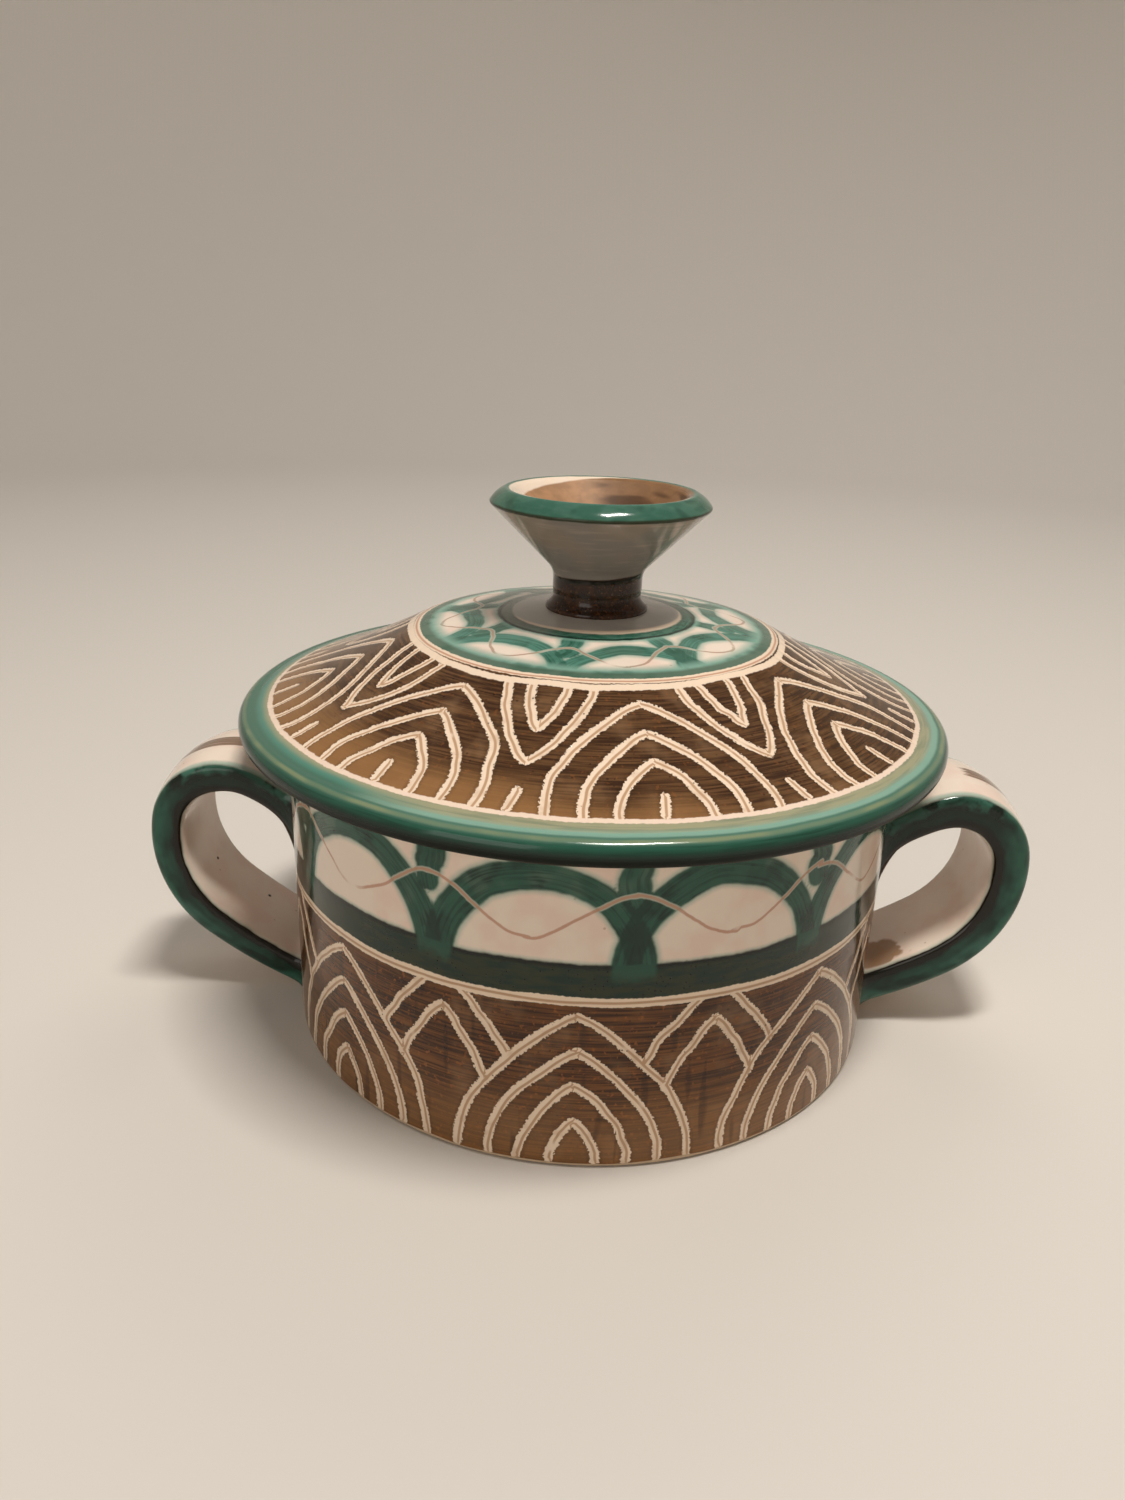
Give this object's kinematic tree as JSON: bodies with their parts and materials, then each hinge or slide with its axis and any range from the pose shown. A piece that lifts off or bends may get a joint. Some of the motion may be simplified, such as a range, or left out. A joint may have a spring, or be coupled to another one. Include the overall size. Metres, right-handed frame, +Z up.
{
  "type": "covered casserole",
  "caption": "Round straight-sided earthenware casserole with strap loop handles and a wide conical lift-off lid with a hollow funnel knob.",
  "frame": {"origin": "centre of the resting plane, under the bowl's axis", "axes": "+Z up along the bowl's axis, handles along +X and -X, the decorated front towards -Y"},
  "size_m": [0.2349, 0.18, 0.1401],
  "materials": {
    "bowl_glaze": "gloss transparent glaze over brown slip, scratched decoration, green and white bands",
    "handle_glaze": "gloss glaze, copper green sides, white inner and outer faces",
    "lid_glaze": "gloss transparent glaze over brown slip, green rolled rim",
    "plain_glaze": "gloss cream glaze",
    "knob_glaze": "gloss grey-white glaze, green rim, brown neck"
  },
  "bodies": {
    "pot": {"bowl": "bowl_glaze", "left_handle": "handle_glaze", "right_handle": "handle_glaze"},
    "cover": {"lid": "lid_glaze", "lid_flange": "plain_glaze", "knob": "knob_glaze"}
  },
  "joints": [
    {"name": "lid_lift", "type": "slide", "parent": "pot", "child": "cover", "axis": [0, 0, 1], "range_m": [0, 0.12]}
  ]
}
